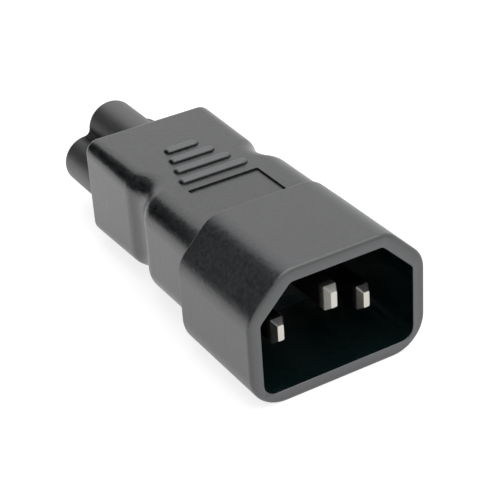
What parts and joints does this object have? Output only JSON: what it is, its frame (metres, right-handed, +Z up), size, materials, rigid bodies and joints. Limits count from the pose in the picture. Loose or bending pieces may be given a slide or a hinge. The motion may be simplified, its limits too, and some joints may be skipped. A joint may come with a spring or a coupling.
{
  "type": "power cord adapter",
  "caption": "Moulded mains cord adapter: a shrouded flat-blade inlet plug at one end, a cloverleaf socket nose at the other, with a waisted, ribbed grip between.",
  "frame": {"origin": "under the middle of the part, on the plane of the plug section's underside", "axes": "+X out of the plug's mouth, +Z up, towards the ribbed top face; the socket nose faces -X"},
  "size_m": [0.0672, 0.0284, 0.0204],
  "materials": {
    "housing_plastic": "black flexible moulding compound, fine satin grain",
    "insert_plastic": "black rigid moulding, plain",
    "nose_plastic": "black rigid moulding, fine satin grain",
    "blade_plating": "bright nickel plate on brass",
    "contact_metal": "bright drawn brass",
    "copper": "bare copper",
    "line_sleeve": "brown wire insulation",
    "neutral_sleeve": "blue wire insulation",
    "earth_sleeve": "green wire insulation with a yellow stripe"
  },
  "bodies": {
    "root": {"outer_housing": "housing_plastic", "pin_carrier": "insert_plastic", "socket_nose": "nose_plastic", "socket_cap": "insert_plastic", "line_blade": "blade_plating", "neutral_blade": "blade_plating", "earth_blade": "blade_plating", "line_contact": "contact_metal", "neutral_contact": "contact_metal", "earth_contact": "contact_metal", "line_conductor": "copper", "neutral_conductor": "copper", "earth_conductor": "copper", "line_insulation": "line_sleeve", "neutral_insulation": "neutral_sleeve", "earth_insulation": "earth_sleeve"}
  },
  "joints": []
}
